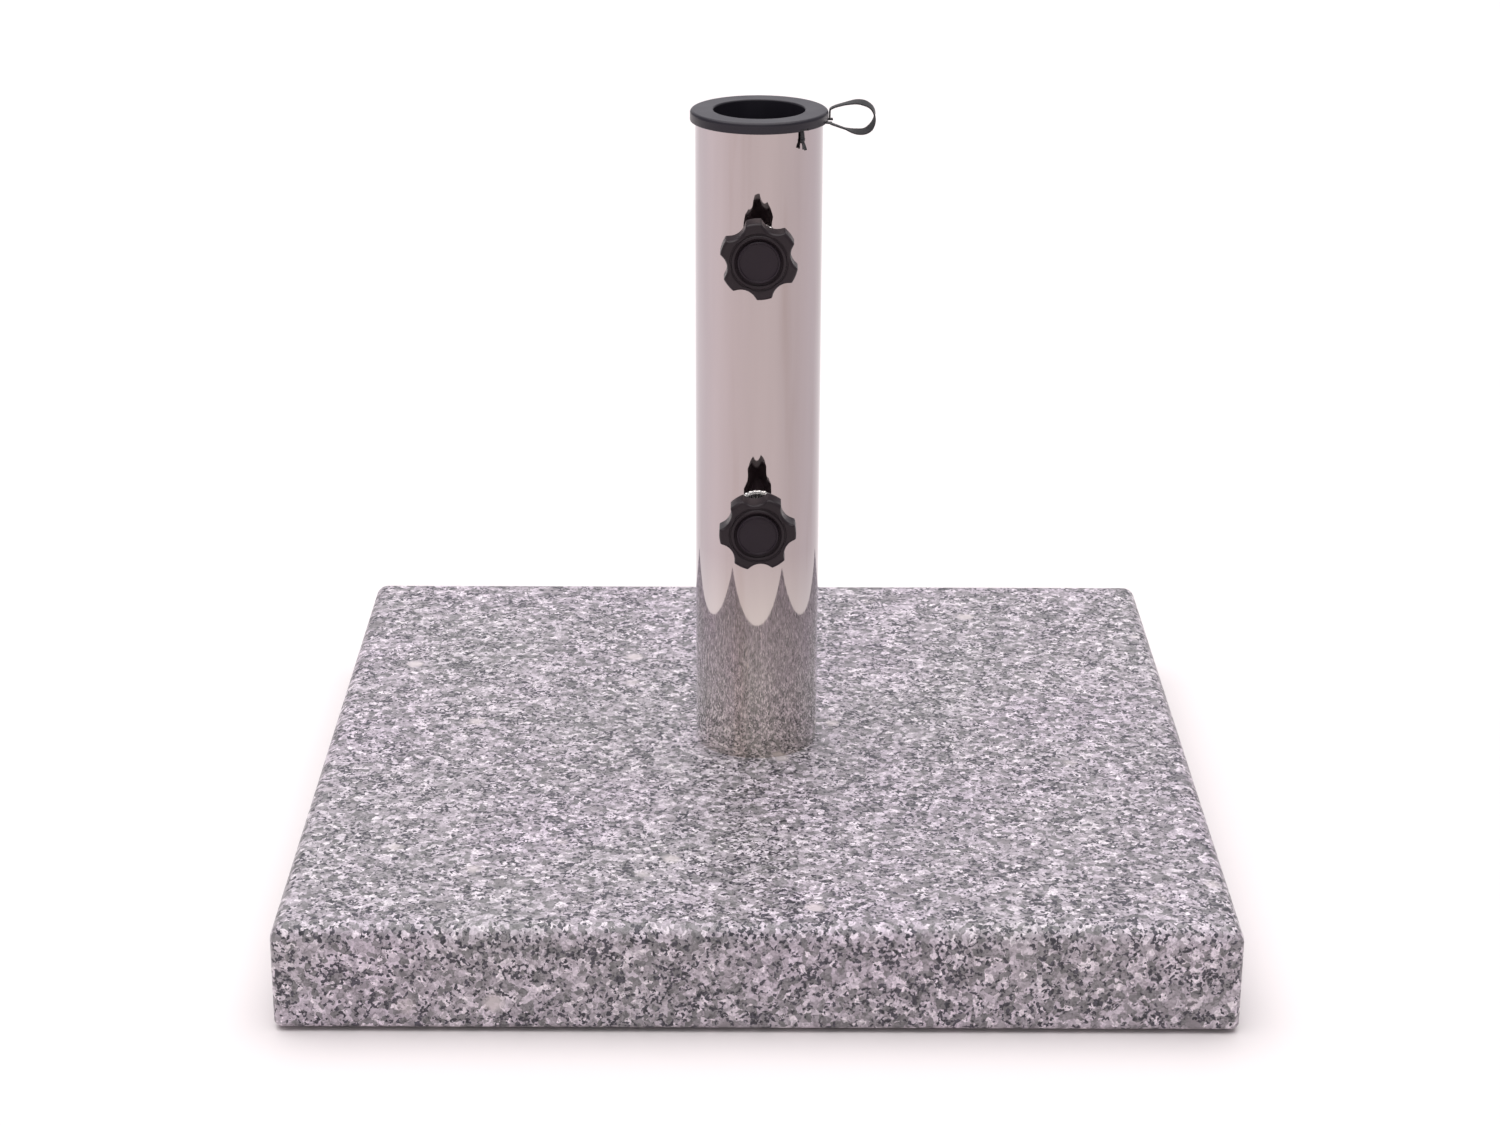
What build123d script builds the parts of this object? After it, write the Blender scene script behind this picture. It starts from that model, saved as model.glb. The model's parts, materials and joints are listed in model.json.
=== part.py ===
from build123d import *
import os
from math import degrees, radians, sqrt, tan

# Parasol base: a square granite slab carries a polished steel tube. A plastic collar in the tube's mouth
# guides the parasol pole, and two star knobs with clamp screws press on the pole through the tube's wall.
# Millimetres. +Z is up, and the origin is under the middle of the slab, on the ground that its feet stand on.
# The knobs face -Y, and the collar's pull strap hangs out towards +X.

# ---- Slab and feet ----
slab_side = 450.0
slab_thickness = 52.0
slab_corner_radius = 5.0        # upright corners
slab_top_radius = 8.0           # rounded upper edge
slab_bottom_radius = 2.5        # eased lower edge
recess_diameter = 50.0          # recess in the underside for the bolt and its washers
recess_depth = 22.0
foot_diameter = 30.0
foot_height = 2.0
foot_inset = 45.0               # from the slab's sides to the middle of a foot

# ---- Tube and its fastening ----
tube_diameter = 63.0
tube_wall = 1.5
tube_height = 328.0
plate_thickness = 4.0           # disc welded into the tube's lower end
bolt_diameter = 12.0
bolt_end_inset = 0.5            # the bolt ends this far inside the weld nut
bolt_head_width = 19.0          # across the flats
bolt_head_height = 7.5
weld_nut_width = 19.0
weld_nut_height = 10.0
washer_diameter = 44.0
washer_thickness = 4.0
lock_washer_diameter = 21.0
lock_washer_thickness = 2.5
lock_washer_gap = 1.5           # the split in the lock washer
bolt_hole_clearance = 0.75      # all round the bolt, in the slab, plate and washers
thread_clearance = 0.05         # all round a thread in its nut or bush

# ---- Collar ----
pole_bore = 45.0
flange_overhang = 2.5           # past the tube's outside
flange_thickness = 5.5
flange_top_radius = 1.6
flange_bottom_radius = 0.6
bore_entry_radius = 0.8
sleeve_length = 42.0
sleeve_clearance = 0.3          # all round the sleeve in the tube
sleeve_lead = 1.0               # chamfer at the sleeve's lower end

# ---- Pull strap ----
strap_width = 4.0
strap_thickness = 0.8
strap_plies = 2                 # plies that lie together in the collar's groove
strap_clearance = 0.1           # round the strap in its groove and notches
notch_clearance = 0.5           # each side of the strap in a notch
loop_azimuths = (0.0, -14.0)    # degrees from +X where the loop's two strands leave the collar
knot_azimuth = -50.0
loop_tab_reach = 2.3            # how far the loop's strands lie flat past the flange
knot_radius = 1.7
knot_clearance = 0.4            # between the knot and the tube
knot_drop = 4.8                 # middle of the knot below the flange
knot_tail_length = 4.4
knot_tail_angle = 24.0
loop_tube_diameter = 2.2        # round section that stands for the folded ribbon
# Route of the loop, from the strand at the first azimuth, up the flange's side, out and back below,
# counted from the point under the flange's edge on +X.
loop_route = [
    (1.4, 0.0, 0.6),
    (1.5, 0.0, 5.6),
    (9.0, -0.8, 9.0),
    (16.0, -2.0, 10.6),
    (21.9, -3.2, 7.6),
    (23.2, -4.2, 1.4),
    (19.6, -5.4, -4.0),
    (13.4, -6.6, -4.6),
    (7.0, -7.6, -2.7),
    (0.6, -8.6, 0.4),
]

# ---- Clamp knobs ----
knob_diameter = 38.0            # over the lobes
knob_lobes = 6
scallop_radius = 8.3
scallop_depth = 3.5
lobe_corner_radius = 2.0
head_thickness = 12.0
head_front_radius = 1.4
head_back_radius = 1.0
ring_width = 2.7                # raised ring round the cap on the knob's face
ring_height = 0.8
ring_edge_radius = 0.35
knob_length = 26.0              # from the knob's face to the end of its hub
hub_base_diameter = 17.2        # at the head
hub_end_diameter = 15.6
hub_end_radius = 0.8
cap_diameter = 20.6
cap_thickness = 1.6
cap_edge_radius = 0.6
cap_clearance = 0.3             # round the cap in its recess
screw_diameter = 8.0
screw_length = 32.0             # under the head
screw_head_width = 13.0         # across the flats
screw_head_height = 5.3
screw_tip_chamfer = 0.5
pocket_clearance = 0.1          # round and in front of the screw's head, inside the knob
pad_diameter = 6.0
pad_thickness = 1.4
pad_pin_diameter = 3.0
pad_pin_length = 4.0
pad_running_clearance = 0.05    # all round the pad's pin in the screw's end
pad_end_clearance = 0.1
bush_flange_diameter = 20.0
bush_flange_height = 2.0        # in front of the tube's outside
bush_body_diameter = 12.0
bush_length = 9.0               # from the flange's front to the inner end
bush_hole_clearance = 0.05
upper_screw_drop = 13.5         # axis below the sleeve's lower end
screw_spacing = 137.0           # between the two axes
# Name, steps of the spacing down from the upper axis, face in front of the tube, turn of the lobes (degrees).
knobs = (
    ("upper", 0, 32.2, 8.3),
    ("lower", 1, 36.7, -26.0),
)

# ---- Heights and radii that follow ----
slab_bottom = foot_height
slab_top = slab_bottom + slab_thickness
recess_ceiling = slab_bottom + recess_depth
tube_rim = slab_top + tube_height
tube_radius = tube_diameter / 2
tube_inner_radius = tube_radius - tube_wall
sleeve_radius = tube_inner_radius - sleeve_clearance
flange_radius = tube_radius + flange_overhang
ply_stack = strap_plies * strap_thickness
groove_radius = sleeve_radius - ply_stack - strap_clearance
groove_height = strap_width + 2 * strap_clearance
tab_bottom = tube_rim + 2 * strap_clearance
knot_orbit = tube_radius + knot_clearance + knot_radius
cap_recess_radius = cap_diameter / 2 + cap_clearance
ring_radius = cap_recess_radius + ring_width
knob_seat_depth = cap_thickness + screw_head_height + 2 * pocket_clearance
upper_screw_height = tube_rim - sleeve_length - upper_screw_drop


def disc(radius, low, high):
    """Upright cylinder about Z between two heights."""
    return Pos(0, 0, (low + high) / 2) * Cylinder(radius, high - low)


def hexagon(width, low, high):
    """Upright hexagonal prism about Z, its width across the flats."""
    return Pos(0, 0, low) * extrude(RegularPolygon(width / sqrt(3), 6), high - low)


def outward_bar(start, low, length, width, height):
    """Bar that runs outwards along +X from a radius, its underside at a height."""
    return Pos(start, 0, low) * Box(length, width, height, align=(Align.MIN, Align.CENTER, Align.MIN))


def rounded(solid, corner, radius):
    """The solid with the circular edge of that (radius, height) rounded."""
    edges = [
        e
        for e in solid.edges().filter_by(GeomType.CIRCLE)
        if abs(e.radius - corner[0]) < 1e-4 and abs(e.arc_center.Z - corner[1]) < 1e-4
    ]
    return fillet(edges, radius)


def make_slab():
    slab = Pos(0, 0, (slab_bottom + slab_top) / 2) * Box(slab_side, slab_side, slab_thickness)
    slab = fillet(slab.edges().filter_by(Axis.Z), slab_corner_radius)
    slab = fillet(slab.faces().sort_by(Axis.Z)[-1].edges(), slab_top_radius)
    slab = fillet(slab.faces().sort_by(Axis.Z)[0].edges(), slab_bottom_radius)
    slab -= disc(bolt_diameter / 2 + bolt_hole_clearance, slab_bottom, slab_top)
    slab -= disc(recess_diameter / 2, slab_bottom, recess_ceiling)
    return slab


def make_feet():
    """Four round pads, each named by its corner."""
    reach = slab_side / 2 - foot_inset
    feet = {}
    for depth_name, y in (("front", -reach), ("back", reach)):
        for side_name, x in (("left", -reach), ("right", reach)):
            feet[f"foot_{depth_name}_{side_name}"] = Pos(x, y, 0) * disc(foot_diameter / 2, 0, foot_height)
    return feet


def make_tube():
    tube = disc(tube_radius, slab_top, tube_rim) - disc(tube_inner_radius, slab_top, tube_rim)
    hole_radius = bush_body_diameter / 2 + bush_hole_clearance
    for _, step, _, _ in knobs:
        tube -= knob_plane(step) * disc(hole_radius, 0, tube_diameter)
    return tube


def make_fastening():
    """Base plate, nut, bolt and washers that hold the tube on the slab, stacked upwards and downwards."""
    hole = bolt_diameter / 2 + bolt_hole_clearance
    thread_hole = bolt_diameter / 2 + thread_clearance
    plate_top = slab_top + plate_thickness
    nut_top = plate_top + weld_nut_height
    washer_bottom = recess_ceiling - washer_thickness
    lock_bottom = washer_bottom - lock_washer_thickness
    head_bottom = lock_bottom - bolt_head_height
    bolt_end = nut_top - bolt_end_inset
    split = Pos(lock_washer_diameter / 2, 0, (lock_bottom + washer_bottom) / 2) * Box(
        lock_washer_diameter, lock_washer_gap, 2 * lock_washer_thickness
    )
    return {
        "tube_base_plate": disc(tube_inner_radius, slab_top, plate_top) - disc(hole, slab_top, plate_top),
        "weld_nut": hexagon(weld_nut_width, plate_top, nut_top) - disc(thread_hole, plate_top, nut_top),
        "slab_washer": disc(washer_diameter / 2, washer_bottom, recess_ceiling)
        - disc(hole, washer_bottom, recess_ceiling),
        "lock_washer": disc(lock_washer_diameter / 2, lock_bottom, washer_bottom)
        - disc(hole, lock_bottom, washer_bottom)
        - split,
        "slab_bolt": hexagon(bolt_head_width, head_bottom, lock_bottom)
        + disc(bolt_diameter / 2, lock_bottom, bolt_end),
    }


def make_collar():
    """Flange on the tube's rim, sleeve inside the tube, and the strap's groove and notches."""
    flange_top = tube_rim + flange_thickness
    sleeve_bottom = tube_rim - sleeve_length
    flange = disc(flange_radius, tube_rim, flange_top)
    flange = rounded(flange, (flange_radius, flange_top), flange_top_radius)
    flange = rounded(flange, (flange_radius, tube_rim), flange_bottom_radius)
    sleeve = disc(sleeve_radius, sleeve_bottom, tube_rim)
    sleeve = chamfer(sleeve.faces().sort_by(Axis.Z)[0].edges(), sleeve_lead)
    collar = flange + sleeve - disc(pole_bore / 2, sleeve_bottom, flange_top)
    collar = rounded(collar, (pole_bore / 2, flange_top), bore_entry_radius)
    groove_floor = tube_rim - groove_height
    collar -= disc(sleeve_radius, groove_floor, tube_rim) - disc(groove_radius, groove_floor, tube_rim)
    notch_width = strap_width + 2 * notch_clearance
    notch_height = strap_thickness + 3 * strap_clearance
    notch = outward_bar(groove_radius, tube_rim, flange_radius, notch_width, notch_height)
    for azimuth in (*loop_azimuths, knot_azimuth):
        collar -= Rot(0, 0, azimuth) * notch
    return collar


def strap_strand(azimuth, reach):
    """Strand that turns up out of the groove and lies flat over the tube's rim out to a radius."""
    inner = groove_radius + strap_clearance
    middle = tube_rim - groove_height / 2
    riser = outward_bar(inner, middle, strap_thickness, strap_width, tab_bottom - middle)
    tab = outward_bar(inner, tab_bottom, reach - inner, strap_width, strap_thickness)
    return Rot(0, 0, azimuth) * (riser + tab)


def make_strap_band():
    """The strap's hidden run: plies round the groove, with a strand at each notch."""
    inner = groove_radius + strap_clearance / 2
    half_width_angle = degrees(strap_width / 2 / groove_radius)
    start = knot_azimuth - half_width_angle
    end = max(loop_azimuths) + half_width_angle
    section = Pos(inner + ply_stack / 2, tube_rim - groove_height / 2) * Rectangle(ply_stack, strap_width)
    band = Rot(0, 0, start) * revolve(Plane.XZ * section, axis=Axis.Z, revolution_arc=end - start)
    for azimuth in loop_azimuths:
        band += strap_strand(azimuth, flange_radius + loop_tab_reach)
    return band + strap_strand(knot_azimuth, knot_orbit + strap_thickness / 2)


def make_strap_knot():
    """Knot under the flange: the strand that comes down from the notch, a ball and two short tails."""
    middle = tube_rim - knot_drop
    strand = Pos(knot_orbit, 0, middle) * Box(
        strap_thickness, strap_width, tab_bottom - middle, align=(Align.CENTER, Align.CENTER, Align.MIN)
    )
    knot = strand + Pos(knot_orbit, 0, middle) * Sphere(knot_radius)
    hanging = (Align.CENTER, Align.CENTER, Align.MAX)
    tail = Box(strap_thickness, strap_width / 2, knot_tail_length, align=hanging)
    for side in (-1, 1):
        knot += Pos(knot_orbit, 0, middle) * Rot(side * knot_tail_angle, 0, 0) * tail
    return Rot(0, 0, knot_azimuth) * knot


def make_strap_loop():
    """Round tube along the loop's route, with an arc at each inner point as large as its two runs allow."""
    flange_edge = Vector(flange_radius, 0, tube_rim)
    points = [flange_edge + Vector(*p) for p in loop_route]
    radii = []
    for before, corner, after in zip(points, points[1:], points[2:]):
        turn = (corner - before).get_angle(after - corner)
        shorter_run = min((corner - before).length, (after - corner).length)
        radii.append(0.45 * shorter_run / tan(radians(turn / 2)))
    path = FilletPolyline(*points, radius=radii)
    section = Plane(origin=path @ 0, z_dir=path % 0) * Circle(loop_tube_diameter / 2)
    loop = sweep(section, path=path)
    print("loop arc radii", [round(r, 1) for r in radii], "centreline", round(path.length, 2))
    print("loop volume / (section x length)", round(loop.volume / (section.area * path.length), 4))
    return loop


def knob_plane(step):
    """Frame of a clamp screw: origin on the tube's axis, local X along +X, local Z outwards along -Y."""
    height = upper_screw_height - step * screw_spacing
    return Plane(origin=(0, 0, height), x_dir=(1, 0, 0), z_dir=(0, -1, 0))


def make_bush(step):
    """Threaded bush through the tube's wall, its flange hollowed to sit on the tube's round outside."""
    front = tube_radius + bush_flange_height
    place = knob_plane(step)
    flange_body = place * disc(bush_flange_diameter / 2, 0, front) - disc(tube_radius, slab_top, tube_rim)
    barrel = place * disc(bush_body_diameter / 2, front - bush_length, front)
    thread_hole = place * disc(screw_diameter / 2 + thread_clearance, 0, front)
    return flange_body + barrel - thread_hole


def make_knob_body(face, turn):
    """Star head with a raised ring on its face, a tapered hub, and the screw head's hexagonal pocket."""
    head_front = face - ring_height
    head_back = head_front - head_thickness
    scallop_orbit = knob_diameter / 2 - scallop_depth + scallop_radius
    scallops = PolarLocations(scallop_orbit, knob_lobes, 180 / knob_lobes) * Circle(scallop_radius)
    outline = Circle(knob_diameter / 2) - scallops
    outline = fillet(outline.vertices(), lobe_corner_radius)
    head = extrude(outline, head_thickness)
    head = fillet(head.faces().sort_by(Axis.Z)[-1].edges(), head_front_radius)
    head = fillet(head.faces().sort_by(Axis.Z)[0].edges(), head_back_radius)
    head = Pos(0, 0, head_back) * Rot(0, 0, 90 + turn) * head
    ring = rounded(disc(ring_radius, head_back, face), (ring_radius, face), ring_edge_radius)
    hub_end = face - knob_length
    hub_length = head_back - hub_end
    hub = Pos(0, 0, hub_end + hub_length / 2) * Cone(hub_end_diameter / 2, hub_base_diameter / 2, hub_length)
    hub = rounded(hub, (hub_end_diameter / 2, hub_end), hub_end_radius)
    seat = face - knob_seat_depth
    pocket_front = face - cap_thickness
    body = head + ring + hub
    body -= disc(cap_recess_radius, pocket_front, face)
    body -= Rot(0, 0, turn) * hexagon(screw_head_width + 2 * pocket_clearance, seat, pocket_front)
    body -= disc(screw_diameter / 2 + pocket_clearance, hub_end, seat)
    return rounded(body, (cap_recess_radius, face), ring_edge_radius)


def make_knob_cap(face):
    cap = disc(cap_diameter / 2, face - cap_thickness, face)
    return rounded(cap, (cap_diameter / 2, face), cap_edge_radius)


def make_knob_screw(face):
    """Clamp screw with a hexagonal head and a blind hole in its end for the pad's pin."""
    seat = face - knob_seat_depth
    tip = seat - screw_length
    shank = disc(screw_diameter / 2, tip, seat)
    shank = chamfer(shank.faces().sort_by(Axis.Z)[0].edges(), screw_tip_chamfer)
    pin_hole_radius = pad_pin_diameter / 2 + pad_running_clearance
    pin_hole = disc(pin_hole_radius, tip, tip + pad_pin_length + pad_end_clearance)
    return hexagon(screw_head_width, seat, seat + screw_head_height) + shank - pin_hole


def make_pressure_pad(face):
    """Small pad that bears on the pole, its pin free to turn in the screw's end."""
    nose_back = face - knob_seat_depth - screw_length - pad_end_clearance
    nose = disc(pad_diameter / 2, nose_back - pad_thickness, nose_back)
    return nose + disc(pad_pin_diameter / 2, nose_back, nose_back + pad_pin_length)


def make_knob(name, step, reach, turn):
    """One clamp knob with its own pieces, placed on its axis, and the bush that it screws into."""
    face = tube_radius + reach
    place = knob_plane(step)
    return {
        f"{name}_bush": make_bush(step),
        f"{name}_knob_body": place * make_knob_body(face, turn),
        f"{name}_knob_cap": place * make_knob_cap(face),
        f"{name}_knob_screw": place * Rot(0, 0, turn) * make_knob_screw(face),
        f"{name}_pressure_pad": place * make_pressure_pad(face),
    }


parts = {"granite_slab": make_slab()}
parts.update(make_feet())
parts["pole_tube"] = make_tube()
parts.update(make_fastening())
parts["pole_collar"] = make_collar()
parts["pull_strap_band"] = make_strap_band()
parts["pull_strap_knot"] = make_strap_knot()
parts["pull_strap_loop"] = make_strap_loop()
for knob in knobs:
    parts.update(make_knob(*knob))

os.makedirs("parts", exist_ok=True)
for node, shape in parts.items():
    export_step(shape, f"parts/{node}.step")
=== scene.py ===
import json
import math

import bmesh
import bpy
import numpy as np
from mathutils import Matrix, Vector


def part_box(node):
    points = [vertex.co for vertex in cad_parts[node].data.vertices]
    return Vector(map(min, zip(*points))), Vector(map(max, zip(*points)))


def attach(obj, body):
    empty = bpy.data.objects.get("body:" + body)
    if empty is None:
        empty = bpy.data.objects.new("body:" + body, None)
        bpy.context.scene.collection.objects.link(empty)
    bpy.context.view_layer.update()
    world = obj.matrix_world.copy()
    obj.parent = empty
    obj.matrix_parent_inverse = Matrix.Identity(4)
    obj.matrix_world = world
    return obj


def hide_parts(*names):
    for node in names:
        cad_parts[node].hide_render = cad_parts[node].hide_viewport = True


# A parasol base: a granite slab, a mirror-polished tube with a plastic collar and a pull strap, and two star
# knobs with clamp screws. Metres, +Z up, the knobs towards -Y and the strap's loop towards +X.
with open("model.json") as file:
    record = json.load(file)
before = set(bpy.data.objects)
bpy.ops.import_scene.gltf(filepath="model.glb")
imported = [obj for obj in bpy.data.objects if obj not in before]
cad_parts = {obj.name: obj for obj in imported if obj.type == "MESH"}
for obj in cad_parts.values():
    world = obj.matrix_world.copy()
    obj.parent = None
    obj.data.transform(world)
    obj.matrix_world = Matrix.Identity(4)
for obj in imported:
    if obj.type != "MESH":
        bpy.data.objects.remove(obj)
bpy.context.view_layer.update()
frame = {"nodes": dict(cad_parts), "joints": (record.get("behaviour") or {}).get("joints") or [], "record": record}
nodes = frame["nodes"]

MM = 0.001

# Places read from the frame.
slab_low, slab_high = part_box("granite_slab")
tube_low, tube_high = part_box("pole_tube")
collar_low, collar_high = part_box("pole_collar")
slab_top = slab_high.z
tube_rim = tube_high.z
tube_radius = tube_high.x
flange_radius = collar_high.x
screw_heights = {
    joint["name"].split("_")[0]: joint["pos_m"][2] for joint in frame["joints"] if joint["type"] == "hinge"
}

# Pull strap. Its strands leave the collar at three notches, in degrees from +X: two for the loop, one for the
# knot. Each strand lies flat over the rim as far as its tab's reach from the axis.
strap_width = 4.0 * MM
strap_thickness = 0.8 * MM
groove_radius = 28.0 * MM
strap_azimuths = (0.0, -14.0, -50.0)
tab_reaches = (36.2 * MM, 36.2 * MM, 33.8 * MM)
knot_orbit = 32.75 * MM  # from the tube's axis
knot_height = 377.2 * MM
# The loop's route, counted from the point under the flange's edge on +X, in millimetres.
loop_route = [
    (0.6, 0.0, 0.6),
    (0.6, 0.0, 4.0),
    (0.8, 0.0, 6.2),
    (8.8, -0.8, 8.7),
    (15.6, -2.0, 10.0),
    (21.8, -3.2, 7.2),
    (22.8, -4.2, 1.2),
    (19.4, -5.4, -4.2),
    (13.4, -6.6, -4.4),
    (7.0, -7.6, -2.2),
    (0.6, -8.6, 0.4),
]


# ---------------------------------------------------------------- meshes


def grid_quads(rows, columns, wrap):
    """Corner numbers of the faces of a grid of points, row by row: r C + c, its neighbour to the right and
    the same two a row up. With wrap, the last column joins the first."""
    r = np.arange(rows - 1)[:, None]
    c = np.arange(columns if wrap else columns - 1)[None, :]
    right = (c + 1) % columns
    quads = np.stack(
        [r * columns + c, r * columns + right, (r + 1) * columns + right, (r + 1) * columns + c], axis=-1
    )
    return quads.reshape(-1, 4)


def piece(name, points, faces, material, body, uv=None, sharp=35.0):
    """One mesh object from points (n, 3) and quads, its doubles merged, riding on a CAD body."""
    mesh = bpy.data.meshes.new(name)
    mesh.from_pydata(np.asarray(points).reshape(-1, 3), [], np.asarray(faces))
    if uv is not None:
        layer = mesh.uv_layers.new(name="UVMap")
        corners = np.empty(len(mesh.loops), np.int32)
        mesh.loops.foreach_get("vertex_index", corners)
        layer.data.foreach_set("uv", np.asarray(uv).reshape(-1, 2)[corners].astype(np.float32).ravel())
    obj = bpy.data.objects.new(name, mesh)
    bpy.context.scene.collection.objects.link(obj)
    weld(mesh)
    mesh.polygons.foreach_set("use_smooth", np.ones(len(mesh.polygons), bool))
    mesh.set_sharp_from_angle(angle=math.radians(sharp))
    mesh.materials.append(material)
    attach(obj, body)
    return obj


def weld(mesh):
    """Merges points that fall together, such as at a pole or a seam, and turns the faces outwards."""
    work = bmesh.new()
    work.from_mesh(mesh)
    bmesh.ops.remove_doubles(work, verts=work.verts, dist=1e-7)
    bmesh.ops.dissolve_degenerate(work, edges=work.edges, dist=1e-8)
    bmesh.ops.recalc_face_normals(work, faces=work.faces)
    work.to_mesh(mesh)
    work.free()


def lathe(radii, heights):
    """A surface round an axis from radii (rows, columns) and heights (rows): across = r cos a,
    side = r sin a, along = h. The first and last rows meet when their radius is nothing or when they are the
    same row."""
    columns = radii.shape[1]
    angles = np.linspace(0, 2 * math.pi, columns, endpoint=False)
    along = np.broadcast_to(np.asarray(heights)[:, None], radii.shape)
    return np.stack([radii * np.cos(angles), radii * np.sin(angles), along], axis=-1)


def carried(line, across, up, half_width, half_thickness, corner_steps=3):
    """A flat strip's section carried along a line: line + across w + up t, where (w, t) runs round a
    rectangle whose short sides are half circles. The ends are closed by their own middle points."""
    side = np.radians(np.linspace(-90, 90, 2 * corner_steps + 1))
    flat = half_width - half_thickness
    right = np.stack([flat + half_thickness * np.cos(side), half_thickness * np.sin(side)], -1)
    section = np.concatenate([right, -right])
    rows = line[:, None] + across[:, None] * section[None, :, :1] + up[:, None] * section[None, :, 1:]
    middles = np.broadcast_to(line[[0, -1], None, :], (2, *rows.shape[1:]))
    points = np.concatenate([middles[:1], rows, middles[1:]])
    run = lengths_along(line) / MM
    run = np.concatenate([run[:1], run, run[-1:]])[:, None]
    uv = np.stack(np.broadcast_arrays(run, section[None, :, 0] / MM), -1)
    return points, grid_quads(len(points), len(section), True), uv


def lengths_along(line):
    """Distance from a line's start to each of its points: the running sum of the steps' lengths."""
    return np.concatenate([[0.0], np.cumsum(np.linalg.norm(np.diff(line, axis=0), axis=1))])


def unit(vectors):
    """Each vector over its own length."""
    return vectors / np.linalg.norm(vectors, axis=-1, keepdims=True)


def joined(surfaces):
    """Several (points, faces, uv) surfaces as one, each with its own corner numbers."""
    shifts = np.cumsum([0] + [points.size // 3 for points, _, _ in surfaces[:-1]])
    points = np.concatenate([p.reshape(-1, 3) for p, _, _ in surfaces])
    faces = np.concatenate([f + shift for (_, f, _), shift in zip(surfaces, shifts)])
    uv = np.concatenate([u.reshape(-1, 2) for _, _, u in surfaces])
    return points, faces, uv


# ---------------------------------------------------------------- materials


def new_material(name, **values):
    """A material whose Principled shader has these uniform values set on its own sockets."""
    material = bpy.data.materials.new(name)
    material.use_nodes = True
    shader = material.node_tree.nodes["Principled BSDF"]
    for socket, value in values.items():
        shader.inputs[socket.replace("_", " ")].default_value = value
    return material, material.node_tree, shader


def node(tree, kind, links=None, **values):
    """A shader node with values set on its sockets or properties, and links from other nodes' outputs."""
    made = tree.nodes.new(kind)
    for key, value in values.items():
        if key in made.inputs:
            made.inputs[key].default_value = value
        elif hasattr(made, key):
            setattr(made, key, value)
        else:
            made.inputs[key.replace("_", " ")].default_value = value
    for socket, output in (links or {}).items():
        tree.links.new(output, made.inputs[socket])
    return made


def ramp(tree, factor, stops):
    """A colour ramp with (position, colour) stops."""
    made = tree.nodes.new("ShaderNodeValToRGB")
    tree.links.new(factor, made.inputs["Fac"])
    elements = made.color_ramp.elements
    while len(elements) > 1:
        elements.remove(elements[-1])
    elements[0].position, elements[0].color = stops[0][0], (*stops[0][1], 1)
    for position, colour in stops[1:]:
        elements.new(position).color = (*colour, 1)
    return made


def grey(value):
    """A colour with the same value in red, green and blue."""
    return (value, value, value)


def mix_colour(tree, factor, a, b, blend="MIX"):
    """Mixes two colours, each an output or a plain colour, by a factor that is an output or a number."""
    made = tree.nodes.new("ShaderNodeMix")
    made.data_type = "RGBA"
    made.blend_type = blend
    for socket, value in (("Factor", factor), ("A", a), ("B", b)):
        target = next(s for s in made.inputs if s.name == socket and s.enabled)
        if isinstance(value, bpy.types.NodeSocket):
            tree.links.new(value, target)
        elif socket == "Factor":
            target.default_value = value
        else:
            target.default_value = (*value, 1)
    return next(s for s in made.outputs if s.enabled)


def maths(tree, operation, a, b=0.5, c=0.5):
    """The output of one maths node, whose operands are outputs or numbers."""
    made = tree.nodes.new("ShaderNodeMath")
    made.operation = operation
    for socket, value in zip(made.inputs, (a, b, c)):
        if isinstance(value, bpy.types.NodeSocket):
            tree.links.new(value, socket)
        else:
            socket.default_value = value
    return made.outputs[0]


def bump(tree, shader, height, strength, distance):
    """Fine relief in a shader's surface from a pattern of heights."""
    made = node(tree, "ShaderNodeBump", {"Height": height}, Strength=strength, Distance=distance)
    tree.links.new(made.outputs["Normal"], shader.inputs["Normal"])


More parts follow.
